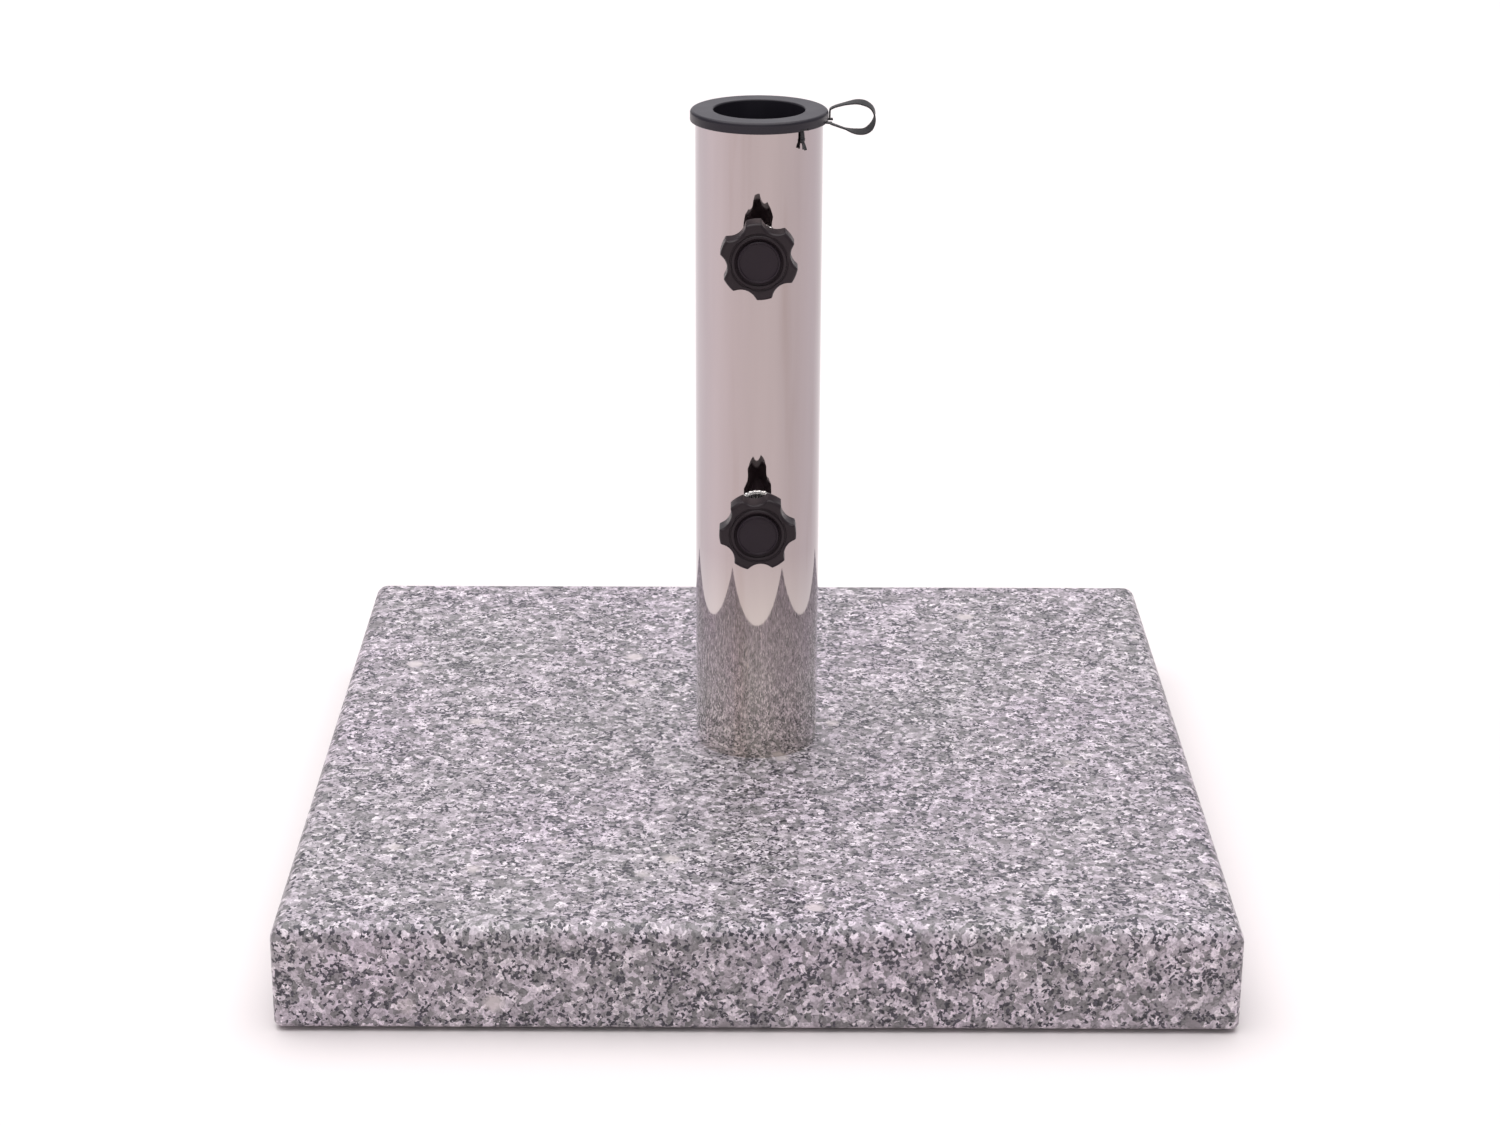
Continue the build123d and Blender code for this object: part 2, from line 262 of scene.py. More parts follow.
def granite_material():
    """Fine-grained granite. Cells about 3 mm wide are grey quartz, lilac-grey or pale pink feldspar, with
    finer cells that vary their tone. Dark mica specks under 2 mm gather in loose clusters, and a few large
    crystals are pale or a clear grey."""
    material, tree, shader = new_material("honed_granite", Roughness=0.42, Specular_IOR_Level=0.5)
    place = node(tree, "ShaderNodeTexCoord").outputs["Object"]
    wobble = node(tree, "ShaderNodeTexNoise", {"Vector": place}, Scale=460.0, Detail=3.0)
    shift = node(tree, "ShaderNodeVectorMath", {0: wobble.outputs["Color"]}, operation="SUBTRACT")
    shift.inputs[1].default_value = grey(0.5)
    scaled = node(tree, "ShaderNodeVectorMath", {0: shift.outputs[0]}, operation="SCALE")
    scaled.inputs["Scale"].default_value = 0.0034
    moved = node(tree, "ShaderNodeVectorMath", {0: place, 1: scaled.outputs[0]}, operation="ADD").outputs[0]

    def cells(scale, channel):
        """A random value for each cell, and the distance from the cell's middle."""
        found = node(tree, "ShaderNodeTexVoronoi", {"Vector": moved}, Scale=scale)
        value = node(tree, "ShaderNodeSeparateColor", {"Color": found.outputs["Color"]}).outputs[channel]
        return value, found.outputs["Distance"]

    grain, _ = cells(340.0, 0)
    fine, _ = cells(880.0, 1)
    speck, _ = cells(690.0, 2)
    crystal, crystal_reach = cells(74.0, 0)
    clusters = node(tree, "ShaderNodeTexNoise", {"Vector": place}, Scale=85.0, Detail=3.0, Roughness=0.6)
    drift = node(tree, "ShaderNodeTexNoise", {"Vector": place}, Scale=13.0, Detail=2.0)

    tones = [
        (0.0, (0.160, 0.152, 0.156)),
        (0.24, (0.240, 0.222, 0.234)),
        (0.48, (0.375, 0.332, 0.364)),
        (0.78, (0.530, 0.468, 0.520)),
        (1.0, (0.720, 0.655, 0.692)),
    ]
    tone = ramp(tree, grain, tones).outputs["Color"]
    shade = ramp(tree, fine, [(0.0, grey(0.62)), (0.35, grey(0.93)), (1.0, grey(1.30))]).outputs["Color"]
    colour = mix_colour(tree, 1.0, tone, shade, "MULTIPLY")
    # A ramp's factor is clamped to 0 to 1, so the clusters' share is centred on 0 before it is added.
    bunch = maths(tree, "MULTIPLY_ADD", clusters.outputs["Fac"], 1.5, -0.75)
    gathered = maths(tree, "ADD", speck, bunch)
    dark = ramp(tree, gathered, [(0.76, grey(0.0)), (0.81, grey(1.0))]).outputs["Color"]
    mica = [(0.0, (0.016, 0.015, 0.020)), (1.0, (0.085, 0.076, 0.098))]
    speck_tone = ramp(tree, fine, mica).outputs["Color"]
    pale = ramp(tree, crystal, [(0.968, grey(0.0)), (0.972, grey(1.0))]).outputs["Color"]
    clear = ramp(tree, crystal, [(0.06, grey(1.0)), (0.065, grey(0.0))]).outputs["Color"]
    inside = ramp(tree, crystal_reach, [(0.20, grey(0.82)), (0.44, grey(0.0))]).outputs["Color"]
    clear_grey, pale_pink = (0.235, 0.212, 0.222), (0.640, 0.570, 0.575)
    colour = mix_colour(tree, mix_colour(tree, 1.0, clear, inside, "MULTIPLY"), colour, clear_grey)
    colour = mix_colour(tree, dark, colour, speck_tone)
    colour = mix_colour(tree, mix_colour(tree, 1.0, pale, inside, "MULTIPLY"), colour, pale_pink)
    drifts = [(0.34, (0.955, 0.965, 0.955)), (0.50, (1.0, 0.99, 1.0)), (0.66, (1.03, 1.00, 1.04))]
    drifted = ramp(tree, drift.outputs["Fac"], drifts).outputs["Color"]
    colour = mix_colour(tree, 1.0, colour, drifted, "MULTIPLY")
    tree.links.new(colour, shader.inputs["Base Color"])
    gloss = ramp(tree, fine, [(0.0, grey(0.32)), (1.0, grey(0.50))])
    tree.links.new(gloss.outputs["Color"], shader.inputs["Roughness"])
    pits = node(tree, "ShaderNodeTexNoise", {"Vector": place}, Scale=1500.0, Detail=3.0)
    bump(tree, shader, pits.outputs["Fac"], 0.12, 0.0004)
    return material


def steel_material(name, colour, roughness, streak, lines):
    """Stainless steel with faint marks along the tube: noise whose pattern is stretched along Z."""
    material, tree, shader = new_material(name, Metallic=1.0, Roughness=roughness)
    place = node(tree, "ShaderNodeTexCoord").outputs["Object"]
    stretched = node(tree, "ShaderNodeMapping", {"Vector": place}, Scale=(1.0, 1.0, 0.02))
    bands = node(tree, "ShaderNodeTexNoise", {"Vector": stretched.outputs[0]}, Scale=55.0, Detail=3.0)
    warm = tuple(c * f for c, f in zip(colour, (1.0 + streak, 1.0, 1.0 - 0.4 * streak)))
    cool = tuple(c * f for c, f in zip(colour, (1.0 - streak, 1.0 - 0.7 * streak, 1.0)))
    tint = ramp(tree, bands.outputs["Fac"], [(0.35, cool), (0.65, warm)])
    tree.links.new(tint.outputs["Color"], shader.inputs["Base Color"])
    fine = node(tree, "ShaderNodeTexNoise", {"Vector": stretched.outputs[0]}, Scale=lines, Detail=4.0)
    spread = ramp(tree, fine.outputs["Fac"], [(0.3, grey(roughness * 0.7)), (0.7, grey(roughness * 1.5))])
    tree.links.new(spread.outputs["Color"], shader.inputs["Roughness"])
    return material


def polished_tube_material():
    """Mirror-polished steel with long faint marks along the tube. Its tint from side to side and its paler foot
    are painted reflection, fixed to the tube: colours that stand in for surroundings that it would mirror."""
    material, tree, shader = new_material("mirror_polished_steel", Metallic=1.0, Roughness=0.04)
    place = node(tree, "ShaderNodeTexCoord").outputs["Object"]
    parts = node(tree, "ShaderNodeSeparateXYZ", {"Vector": place})
    stretched = node(tree, "ShaderNodeMapping", {"Vector": place}, Scale=(1.0, 1.0, 0.06))
    across = {"Value": parts.outputs["X"]}
    share = node(tree, "ShaderNodeMapRange", across, From_Min=-tube_radius, From_Max=tube_radius)
    # Painted reflection: tones from left to right across the tube, standing in for what it would mirror.
    bands = [
        (0.0, (0.450, 0.408, 0.430)),
        (0.14, (0.478, 0.418, 0.430)),
        (0.30, (0.455, 0.388, 0.388)),
        (0.47, (0.432, 0.370, 0.366)),
        (0.64, (0.425, 0.366, 0.362)),
        (0.80, (0.392, 0.338, 0.340)),
        (0.93, (0.398, 0.352, 0.366)),
        (1.0, (0.412, 0.374, 0.390)),
    ]
    tint = ramp(tree, share.outputs[0], bands).outputs["Color"]
    cloud = node(tree, "ShaderNodeTexNoise", {"Vector": stretched.outputs[0]}, Scale=75.0, Detail=4.0)
    marks = [(0.32, (0.90, 0.87, 0.85)), (0.47, grey(1.0)), (0.70, grey(1.05))]
    faint = ramp(tree, cloud.outputs["Fac"], marks)
    colour = mix_colour(tree, 1.0, tint, faint.outputs["Color"], "MULTIPLY")
    upwards = {"Value": parts.outputs["Z"]}
    # Painted reflection: the tube's foot is painted paler, standing in for the granite it would mirror.
    foot_end, foot_fades_out = slab_top + 35 * MM, slab_top + 110 * MM
    foot = node(tree, "ShaderNodeMapRange", upwards, From_Min=foot_end, From_Max=foot_fades_out)
    painted_foot_reflection = ramp(tree, foot.outputs[0], [(0.0, (1.52, 1.66, 1.54)), (1.0, grey(1.0))])
    colour = mix_colour(tree, 1.0, colour, painted_foot_reflection.outputs["Color"], "MULTIPLY")
    tree.links.new(colour, shader.inputs["Base Color"])
    fine = node(tree, "ShaderNodeTexNoise", {"Vector": stretched.outputs[0]}, Scale=900.0, Detail=4.0)
    spread = ramp(tree, fine.outputs["Fac"], [(0.3, grey(0.02)), (0.7, grey(0.05))])
    tree.links.new(spread.outputs["Color"], shader.inputs["Roughness"])
    return material


def moulded_material(name, colour, roughness, grain_scale=2200.0, strength=0.12, shine=0.3):
    """Moulded plastic: a fine spark-eroded grain in the surface and small changes of tone and gloss."""
    material, tree, shader = new_material(name, Roughness=roughness, Specular_IOR_Level=shine)
    shader.inputs["Specular Tint"].default_value = (1.0, 0.93, 0.95, 1.0)
    place = node(tree, "ShaderNodeTexCoord").outputs["Object"]
    tone = node(tree, "ShaderNodeTexNoise", {"Vector": place}, Scale=60.0, Detail=3.0)
    low = tuple(c * 0.88 for c in colour)
    high = tuple(c * 1.14 for c in colour)
    tint = ramp(tree, tone.outputs["Fac"], [(0.3, low), (0.7, high)])
    tree.links.new(tint.outputs["Color"], shader.inputs["Base Color"])
    gloss = ramp(tree, tone.outputs["Fac"], [(0.3, grey(roughness * 0.9)), (0.7, grey(roughness * 1.1))])
    tree.links.new(gloss.outputs["Color"], shader.inputs["Roughness"])
    grain = node(tree, "ShaderNodeTexNoise", {"Vector": place}, Scale=grain_scale, Detail=2.0)
    bump(tree, shader, grain.outputs["Fac"], strength, 0.0002)
    return material


def webbing_material():
    """Thin woven ribbon: threads across and along, from two waves on the ribbon's own UV map, in
    millimetres."""
    sheen = {"Sheen_Weight": 0.25, "Sheen_Roughness": 0.5}
    material, tree, shader = new_material("woven_ribbon", Roughness=0.75, **sheen)
    place = {"Vector": node(tree, "ShaderNodeUVMap").outputs["UV"]}
    along = node(tree, "ShaderNodeTexWave", place, Scale=1.1, bands_direction="X", Distortion=0.6)
    across = node(tree, "ShaderNodeTexWave", place, Scale=0.8, bands_direction="Y", Distortion=0.6)
    weave = maths(tree, "MULTIPLY", along.outputs["Fac"], across.outputs["Fac"])
    tint = ramp(tree, weave, [(0.0, (0.012, 0.011, 0.013)), (1.0, (0.058, 0.055, 0.062))])
    tree.links.new(tint.outputs["Color"], shader.inputs["Base Color"])
    bump(tree, shader, weave, 0.5, 0.00015)
    return material


GRANITE = granite_material()
POLISHED = polished_tube_material()
PLATED = steel_material("bright_plated_steel", (0.62, 0.62, 0.61), 0.22, 0.02, 1500.0)
ZINC = steel_material("zinc_plated_steel", (0.58, 0.59, 0.58), 0.30, 0.03, 1500.0)
PLAIN_STEEL = steel_material("mill_finish_steel", (0.45, 0.44, 0.42), 0.38, 0.04, 1200.0)
COLLAR_PLASTIC = moulded_material("collar_plastic", (0.019, 0.017, 0.024), 0.36)
KNOB_PLASTIC = moulded_material("knob_plastic", (0.021, 0.015, 0.018), 0.34, shine=0.22)
CAP_PLASTIC = moulded_material("knob_cap_plastic", (0.018, 0.012, 0.017), 0.36, shine=0.22)
FOOT_RUBBER = moulded_material("foot_rubber", (0.022, 0.022, 0.023), 0.85, grain_scale=1400.0, strength=0.3)
PAD_NYLON = moulded_material("pad_nylon", (0.72, 0.71, 0.66), 0.45)
RIBBON = webbing_material()
WELD = steel_material("weld_bead_steel", (0.78, 0.77, 0.75), 0.16, 0.03, 700.0)

FINISHES = {
    "granite": GRANITE,
    "foot_rubber": FOOT_RUBBER,
    "polished_steel": POLISHED,
    "plain_steel": PLAIN_STEEL,
    "zinc_steel": ZINC,
    "plated_steel": PLATED,
    "collar_plastic": COLLAR_PLASTIC,
    "strap_webbing": RIBBON,
    "knob_plastic": KNOB_PLASTIC,
    "cap_plastic": CAP_PLASTIC,
    "pad_nylon": PAD_NYLON,
}


def finish_cad_nodes():
    """Gives every CAD node the finish of its material slot."""
    for part in frame["record"]["subparts"]:
        mesh = nodes[part["node"]].data
        mesh.materials.clear()
        mesh.materials.append(FINISHES[part["material_slot"]])


# ---------------------------------------------------------------- pull strap


def spline_points(points):
    """Points along a smooth NURBS curve of order 3 whose control points these are, from end to end."""
    curve = bpy.data.curves.new("strap_line", "CURVE")
    curve.dimensions = "3D"
    spline = curve.splines.new("NURBS")
    spline.points.add(len(points) - 1)
    for target, point in zip(spline.points, points):
        target.co = (*point, 1.0)
    spline.order_u = 3
    spline.use_endpoint_u = True
    spline.resolution_u = 24
    holder = bpy.data.objects.new("strap_line", curve)
    bpy.context.scene.collection.objects.link(holder)
    bpy.context.view_layer.update()
    mesh = bpy.data.meshes.new_from_object(holder)
    line = np.empty(3 * len(mesh.vertices), np.float32)
    mesh.vertices.foreach_get("co", line)
    bpy.data.objects.remove(holder)
    bpy.data.meshes.remove(mesh)
    return line.reshape(-1, 3).astype(float)


def ribbon(
    line, flat_towards, turns=(0.0, 0.0), stations=(0.0, 1.0), width=strap_width, ply=strap_thickness
):
    """Flat strip carried along a line. Its width runs along the given direction, made square to the line,
    then turned about the line: w cos t + f sin t, where f is square to both and the angle t in degrees
    changes between stations along the length."""
    share = lengths_along(line) / lengths_along(line)[-1]
    tangent = unit(np.gradient(line, axis=0))
    turn = np.radians(np.interp(share, stations, turns))[:, None]
    wide = np.broadcast_to(flat_towards, line.shape)
    width_axis = unit(wide - tangent * (wide * tangent).sum(1, keepdims=True))
    face_axis = np.cross(tangent, width_axis)
    across = width_axis * np.cos(turn) + face_axis * np.sin(turn)
    return carried(line, across, np.cross(tangent, across), width / 2, ply / 2)


def make_loop(band, knot):
    """The finger loop: a ribbon carried along its spline, its width along Y, turned where it shows its face at the
    top and at the lower right. Its arguments, the run in the mouth and the knot, are not used."""
    edge = Vector((flange_radius, 0, tube_rim))
    line = spline_points([edge + Vector(p) * MM for p in loop_route])
    turns = (0.0, 0.0, 6.0, 34.0, 12.0, -46.0, -34.0, 4.0, 0.0)
    stations = (0.0, 0.10, 0.22, 0.38, 0.50, 0.64, 0.76, 0.86, 1.0)
    points, faces, uv = ribbon(line, (0.0, 1.0, 0.0), turns, stations)
    loop = piece("pull_strap_ribbon", points, faces, RIBBON, "collar", uv)
    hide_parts("pull_strap_loop")


def swung(points, azimuth):
    """Points turned about Z by an azimuth in degrees."""
    c, s = math.cos(math.radians(azimuth)), math.sin(math.radians(azimuth))
    return np.asarray(points) @ np.array([[c, s, 0], [-s, c, 0], [0, 0, 1]])


def make_band():
    """The strap's run inside the tube's mouth: two plies round the collar's groove, x = r cos a and
    y = r sin a at one height, and a strand at each notch that turns up out of the groove and lies out over
    the tube's rim."""
    low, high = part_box("pull_strap_band")
    middle = low.z + strap_width / 2
    tab = high.z - strap_thickness / 2
    past_notch = 4.0
    start, end = strap_azimuths[-1] - past_notch, strap_azimuths[0] + past_notch
    angles = np.radians(np.linspace(start, end, 121))
    upright = (0.0, 0.0, 1.0)
    strips = []
    for radius in (groove_radius + 0.47 * MM, groove_radius + 1.23 * MM):
        ring = np.stack([radius * np.cos(angles), radius * np.sin(angles), np.full_like(angles, middle)], -1)
        strips.append(ribbon(ring, upright, ply=0.72 * MM))
    inner = groove_radius + 0.5 * MM
    turning = 1.2 * MM
    for azimuth, reach in zip(strap_azimuths, tab_reaches):
        bend = [
            (inner, 0, middle),
            (inner, 0, tab - turning),
            (inner, 0, tab),
            (inner + turning, 0, tab),
            (reach, 0, tab),
        ]
        line = swung(spline_points(bend), azimuth)
        strips.append(ribbon(line, swung((0.0, 1.0, 0.0), azimuth), width=3.8 * MM, ply=0.68 * MM))
    points, faces, uv = joined(strips)
    band = piece("pull_strap_run", points, faces, RIBBON, "collar", uv)
    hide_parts("pull_strap_band")
    return band


def make_knot():
    """The strap's tied end: a strand drops from its notch, nearly two turns of thin ribbon wrap round it,
    (r cos a, r sin a, c a + small wave), and two tails lean outwards below."""
    _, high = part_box("pull_strap_knot")
    orbit, centre = knot_orbit, knot_height
    sideways = (0.0, 1.0, 0.0)
    top = high.z - strap_thickness / 2
    strand = [
        (orbit - 1.9 * MM, 0, top),
        (orbit - 0.4 * MM, 0, top),
        (orbit - 0.3 * MM, 0, top - 1.4 * MM),
        (orbit, 0.1 * MM, centre),
    ]
    strips = [ribbon(spline_points(strand), sideways, (0, 15.0), width=2.2 * MM)]
    turn = np.radians(np.linspace(0, 700, 140))
    swell = 0.72 + 0.08 * np.sin(1.5 * turn + 0.6)
    level = 0.5 - 0.9 * turn / turn[-1] + 0.4 * np.sin(turn + 0.8)
    across, aside = swell * MM * np.cos(turn), swell * MM * np.sin(turn)
    wrap = np.stack([orbit + across, aside, centre + MM * level], -1)
    strips.append(ribbon(wrap, (0.0, 0.0, 1.0), (20.0, -25.0), width=1.2 * MM, ply=0.5 * MM))
    for side, length in ((-1, 3.9), (1, 4.4)):
        tail = [
            (orbit, 0.0, centre + 0.2 * MM),
            (orbit + 0.3 * MM, side * 0.2 * MM, centre - 1.2 * MM),
            (orbit + 1.0 * MM, side * 0.5 * MM, centre - 0.6 * length * MM),
            (orbit + 1.3 * MM, side * 0.8 * MM, centre - length * MM),
        ]
        leans = (10.0 * side, 30.0 * side)
        strips.append(ribbon(spline_points(tail), sideways, leans, width=1.4 * MM, ply=0.7 * MM))
    points, faces, uv = joined(strips)
    points = swung(points, strap_azimuths[-1])
    knot = piece("pull_strap_knot_tied", points, faces, RIBBON, "collar", uv)
    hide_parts("pull_strap_knot")
    return knot


# ---------------------------------------------------------------- tube

# Round each bush's hole the wall has a square window, HOLE_STEPS faces to a side, which reaches HOLE_ANGLE
# degrees to each side and HOLE_SIDE up and down. The columns go round the whole tube at that width. Heights
# are rounded to HEIGHT_DIGITS, so that equal rows count as one.
HOLE_STEPS = 24
HOLE_ANGLE = 15.0
HOLE_SIDE = 8.2 * MM
TUBE_COLUMNS = round(360 / (2 * HOLE_ANGLE) * HOLE_STEPS)
HEIGHT_DIGITS = 7


def wall(radius, hole_radius, heights):
    """The tube's wall at one radius, x = R sin a, y = -R cos a, z = h, on a grid of angles and heights. A
    square window of the grid is left out round each hole, and rows of points that run from the hole's circle
    to the window's edge, circle (1 - t) + square t, fill it."""
    columns, side = TUBE_COLUMNS, HOLE_SIDE
    angles = 2 * math.pi / columns * np.arange(columns)
    plain_rows = np.linspace(slab_top, tube_rim, 18)
    window_rows = [np.linspace(h - side, h + side, HOLE_STEPS + 1) for h in heights]
    levels = np.unique(np.round(np.concatenate([plain_rows, *window_rows]), HEIGHT_DIGITS))
    for height, own_rows in zip(heights, window_rows):
        outside = abs(levels - height) > side - 1e-6
        levels = levels[outside | np.isin(levels, np.round(own_rows, HEIGHT_DIGITS))]
    flat = np.stack(np.meshgrid(angles, levels), -1)
    quads = grid_quads(len(levels), columns, True)
    row, column = quads[:, 0] // columns, quads[:, 0] % columns
    near = (column < HOLE_STEPS / 2) | (column >= columns - HOLE_STEPS / 2)
    middle = (levels[row] + levels[np.minimum(row + 1, len(levels) - 1)]) / 2
    open_window = near & np.any([abs(middle - z) < side for z in heights], axis=0)
    surfaces = [(flat.reshape(-1, 2), quads[~open_window])]
    t = np.linspace(-1, 1, HOLE_STEPS + 1)[:-1]
    one = np.ones_like(t)
    square = np.concatenate([np.stack(p, -1) for p in ((one, t), (-t, one), (-one, -t), (t, -one))])
    square = square * [math.radians(HOLE_ANGLE), side]
    circle = np.radians(np.linspace(-45, 315, 4 * HOLE_STEPS + 1)[:-1])
    rim = np.stack([np.arcsin(hole_radius * np.cos(circle) / radius), hole_radius * np.sin(circle)], -1)
    share = np.linspace(0, 1, 6)[:, None, None]
    for z in heights:
        patch = (1 - share) * rim + share * square + [0, z]
        surfaces.append((patch.reshape(-1, 2), grid_quads(6, len(circle), True)))
    solid = []
    for places, faces in surfaces:
        turn, level = places[:, 0], places[:, 1]
        solid.append((np.stack([radius * np.sin(turn), -radius * np.cos(turn), level], -1), faces, places))
    return solid, rim


def make_tube():
    """Polished tube: an outer and an inner wall with a round hole for each bush, a ring of faces through each
    hole, and a flat ring at the top and the bottom."""
    wall_thickness = 1.5 * MM
    hole_radius = 6.05 * MM
    inner_radius = tube_radius - wall_thickness
    heights = sorted(screw_heights.values())
    outer, outer_rim = wall(tube_radius, hole_radius, heights)
    inner, inner_rim = wall(inner_radius, hole_radius, heights)
    surfaces = outer + inner
    angles = 2 * math.pi / TUBE_COLUMNS * np.arange(TUBE_COLUMNS)
    for level in (slab_top, tube_rim):
        radius = np.array([[tube_radius], [inner_radius]])
        ring = np.stack(np.broadcast_arrays(radius * np.sin(angles), -radius * np.cos(angles), level), -1)
        surfaces.append((ring, grid_quads(2, TUBE_COLUMNS, True), ring[..., :2]))
    for level in heights:
        sides = [
            np.stack([r * np.sin(rim[:, 0]), -r * np.cos(rim[:, 0]), level + rim[:, 1]], -1)
            for r, rim in ((tube_radius, outer_rim), (inner_radius, inner_rim))
        ]
        around = len(outer_rim)
        surfaces.append((np.array(sides), grid_quads(2, around, True), np.zeros((2, around, 2))))
    points, faces, _ = joined(surfaces)
    tube = piece("polished_tube", points, faces, POLISHED, "base", sharp=50.0)
    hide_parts("pole_tube")


# ---------------------------------------------------------------- knobs, screws and bushes

# The screw's head sits in the knob's pocket this far behind the cap's face, in millimetres.
POCKET_DEPTH = 7.1
CLAMP_SCREW_LENGTH = 32.0
CLAMP_SCREW = {"diameter": 8.0, "pitch": 1.25, "head_width": 13.0, "head_height": 5.25}
CLAMP_SCREW["blind_hole"] = (1.55, 4.1)  # radius and depth, for the pressure pad's pin
# A hole of a thousandth of a millimetre makes the bolt's end flat.
SLAB_BOLT = {"diameter": 12.0, "pitch": 1.75, "head_width": 19.0, "head_height": 7.5}
SLAB_BOLT["blind_hole"] = (0.001, 0.001)
KNOB_TURNS = {"upper": 8.3, "lower": -26.0}  # degrees


def towards_front(points, height):
    """Turns a lathed surface's axis out along -Y at a height: (u, v, w) to (u, -w, height + v)."""
    u, v, w = np.moveaxis(points, -1, 0)
    return np.stack([u, -w, height + v], -1)


def star_outline(angles, turn):
    """Radius of the knob's head at an angle: the smaller of the lobes' circle and the circle of the nearest
    scallop, D cos a - sqrt(r^2 - D^2 sin^2 a), with the two joined by a rounded corner."""
    lobe, scallop, depth, corner = 19.0, 8.3, 3.5, 1.1
    beyond = 30.0
    orbit = lobe - depth + scallop
    sixth = math.pi / 3
    away = (angles - math.radians(90 + turn)) % sixth - sixth / 2
    inside = scallop**2 - (orbit * np.sin(away)) ** 2
    cut = np.where(inside > 0, orbit * np.cos(away) - np.sqrt(np.maximum(inside, 0)), beyond)
    overlap = np.maximum(corner - abs(cut - lobe), 0) / corner
    return np.minimum(cut, lobe) - overlap**2 * corner / 4


def hexagon_outline(angles, across_flats, turn=0.0):
    """Radius of a hexagon at an angle: half the width across the flats over cos of the angle from the
    flat."""
    sixth = math.pi / 3
    away = (angles - math.radians(turn)) % sixth - sixth / 2
    return across_flats / 2 / np.cos(away)


def curve(centre, radius, start, end, steps=7):
    """Stations round an edge: centre + radius (cos a, sin a), the angle going from start to end in
    degrees."""
    angles = np.radians(np.linspace(start, end, steps))
    return [(centre[0] + radius * math.cos(a), centre[1] + radius * math.sin(a)) for a in angles]


def make_knob_body(name, face, turn, height):
    """Star-shaped head with a raised ring round its cap, a tapered hub, and the screw's pocket: a closed
    profile carried round the axis, whose head stations follow the star outline less an inset, in
    millimetres."""
    columns = 432
    angles = np.linspace(0, 2 * math.pi, columns, endpoint=False)
    star = star_outline(angles, turn)
    front = face - 0.8
    back = front - 12.0
    end = face - 26.0
    seat = face - POCKET_DEPTH
    recess = face - 1.6
    recess_radius = 10.85
    bead_radius, bead_half_width, bead_rise = 12.4, 0.9, 0.95
    plain_from = 14.3
    front_round, back_round, hub_round = 1.9, 1.1, 0.8
    pocket_radius, bore_radius = 7.62, 4.1
    bead = np.radians(np.linspace(180, 0, 15))
    stations = [(recess_radius, recess), (11.4, front - 0.35)]
    stations += [
        (bead_radius + bead_half_width * math.cos(a), front - 0.3 + bead_rise * math.sin(a)) for a in bead
    ]
    stations += [(13.5, front - 0.45), (13.9, front - 0.45), (14.15, front - 0.1)]
    rows = [np.full(columns, r) for r, _ in stations]
    levels = [w for _, w in stations]
    for share in (0.0, 0.3, 0.65):
        rows.append(plain_from + share * (star - front_round - plain_from))
        levels.append(front)
    edges = curve((-front_round, front - front_round), front_round, 90, 0, 9)
    edges += curve((-back_round, back + back_round), back_round, 0, -90, 7)
    for r, w in edges:
        rows.append(star + r)
        levels.append(w)
    stations = [(10.2, back)] + curve((9.4, back - hub_round), hub_round, 90, 180, 5)
    stations += curve((7.0, end + hub_round), hub_round, 5, -90, 6)
    stations += [(4.5, end), (bore_radius, end + 0.4), (bore_radius, seat)]
    stations += [(pocket_radius, seat), (pocket_radius, recess), (recess_radius, recess)]
    rows += [np.full(columns, r) for r, _ in stations]
    levels += [w for _, w in stations]
    points = towards_front(lathe(np.array(rows) * MM, np.array(levels) * MM), height)
    quads = grid_quads(len(rows), columns, True)
    head = f"{name}_knob_head"
    body = piece(head, points, quads, KNOB_PLASTIC, f"{name}_knob", sharp=60.0)
    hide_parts(f"{name}_knob_body")


def make_knob_cap(name, face, height):
    """Round cap: its middle lies 0.6 mm below a rounded rim, h = face - 0.6 + 0.6 sin^2 across the slope."""
    columns = 128
    dish, edge_round, under = 0.6, 0.75, face - 1.55
    slope = np.linspace(0, 1, 9)
    rise = [(9.0 + 0.5 * t, face - dish + dish * math.sin(t * math.pi / 2) ** 2) for t in slope]
    stations = [(0.0, face - dish), (4.0, face - dish)] + rise
    stations += curve((9.6, face - edge_round), edge_round, 85, 0, 8)
    stations += [(10.35, under), (0.0, under)]
    radii = np.broadcast_to(np.array(stations)[:, :1], (len(stations), columns)) * MM
    points = towards_front(lathe(radii, np.array(stations)[:, 1] * MM), height)
    quads = grid_quads(len(stations), columns, True)
    cover = f"{name}_knob_cover"
    cap = piece(cover, points, quads, CAP_PLASTIC, f"{name}_knob", sharp=50.0)
    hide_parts(f"{name}_knob_cap")


